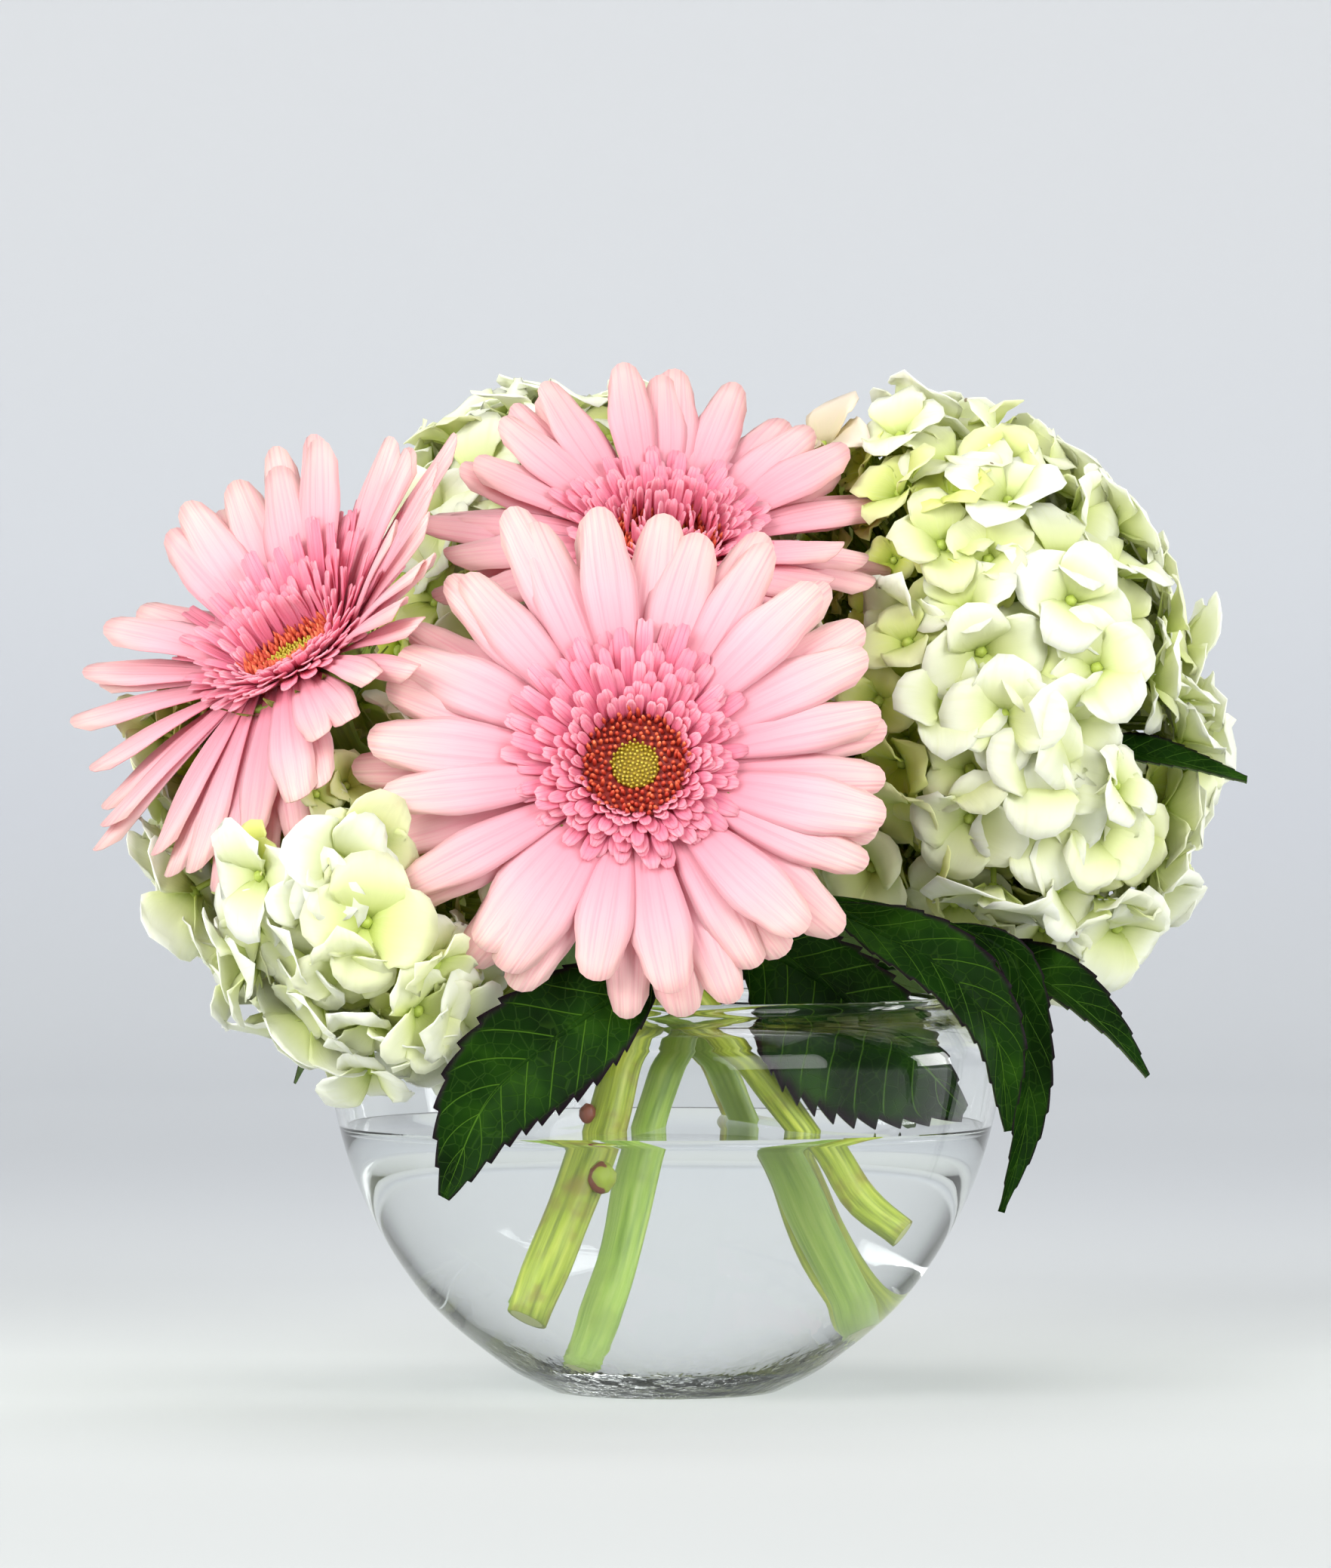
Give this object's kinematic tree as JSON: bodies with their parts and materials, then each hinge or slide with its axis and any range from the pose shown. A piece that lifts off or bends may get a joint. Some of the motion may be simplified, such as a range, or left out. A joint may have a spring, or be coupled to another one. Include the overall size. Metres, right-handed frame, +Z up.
{
  "type": "floral table centerpiece",
  "caption": "Low bouquet of pink gerberas, cream and lime hydrangea heads and toothed leaves, its stems standing in water in a low round clear glass bowl.",
  "frame": {"origin": "centre of the underside of the bowl's foot, on the surface that it stands on", "axes": "+Z up along the bowl's axis; -Y towards the side that the bouquet faces; +X to the viewer's right"},
  "size_m": [0.2628, 0.2011, 0.2316],
  "materials": {
    "clear_glass": "polished",
    "water": "polished",
    "gerbera_stem": "satin",
    "hydrangea_stem": "satin",
    "ray_petal": "matte",
    "disc_floret": "matte",
    "disc_ring": "matte",
    "disc_eye": "matte",
    "hydrangea_floret": "matte",
    "leaf": "satin"
  },
  "bodies": {
    "root": {"glass_bowl": "clear_glass", "water": "water", "gerbera_front_stem": "gerbera_stem", "gerbera_front_rays": "ray_petal", "gerbera_front_florets": "disc_floret", "gerbera_front_ring": "disc_ring", "gerbera_front_eye": "disc_eye", "gerbera_back_stem": "gerbera_stem", "gerbera_back_rays": "ray_petal", "gerbera_back_florets": "disc_floret", "gerbera_back_ring": "disc_ring", "gerbera_back_eye": "disc_eye", "gerbera_left_stem": "gerbera_stem", "gerbera_left_rays": "ray_petal", "gerbera_left_florets": "disc_floret", "gerbera_left_ring": "disc_ring", "gerbera_left_eye": "disc_eye", "hydrangea_right_stem": "hydrangea_stem", "hydrangea_right_head": "hydrangea_floret", "hydrangea_left_stem": "hydrangea_stem", "hydrangea_left_head": "hydrangea_floret", "hydrangea_back_stem": "hydrangea_stem", "hydrangea_back_head": "hydrangea_floret", "leaf_front_left": "leaf", "leaf_inside_right": "leaf", "leaf_right_a": "leaf", "leaf_right_b": "leaf", "leaf_right_c": "leaf", "leaf_back_left": "leaf", "leaf_back_right": "leaf", "leaf_left": "leaf", "leaf_far_right": "leaf"}
  },
  "joints": []
}
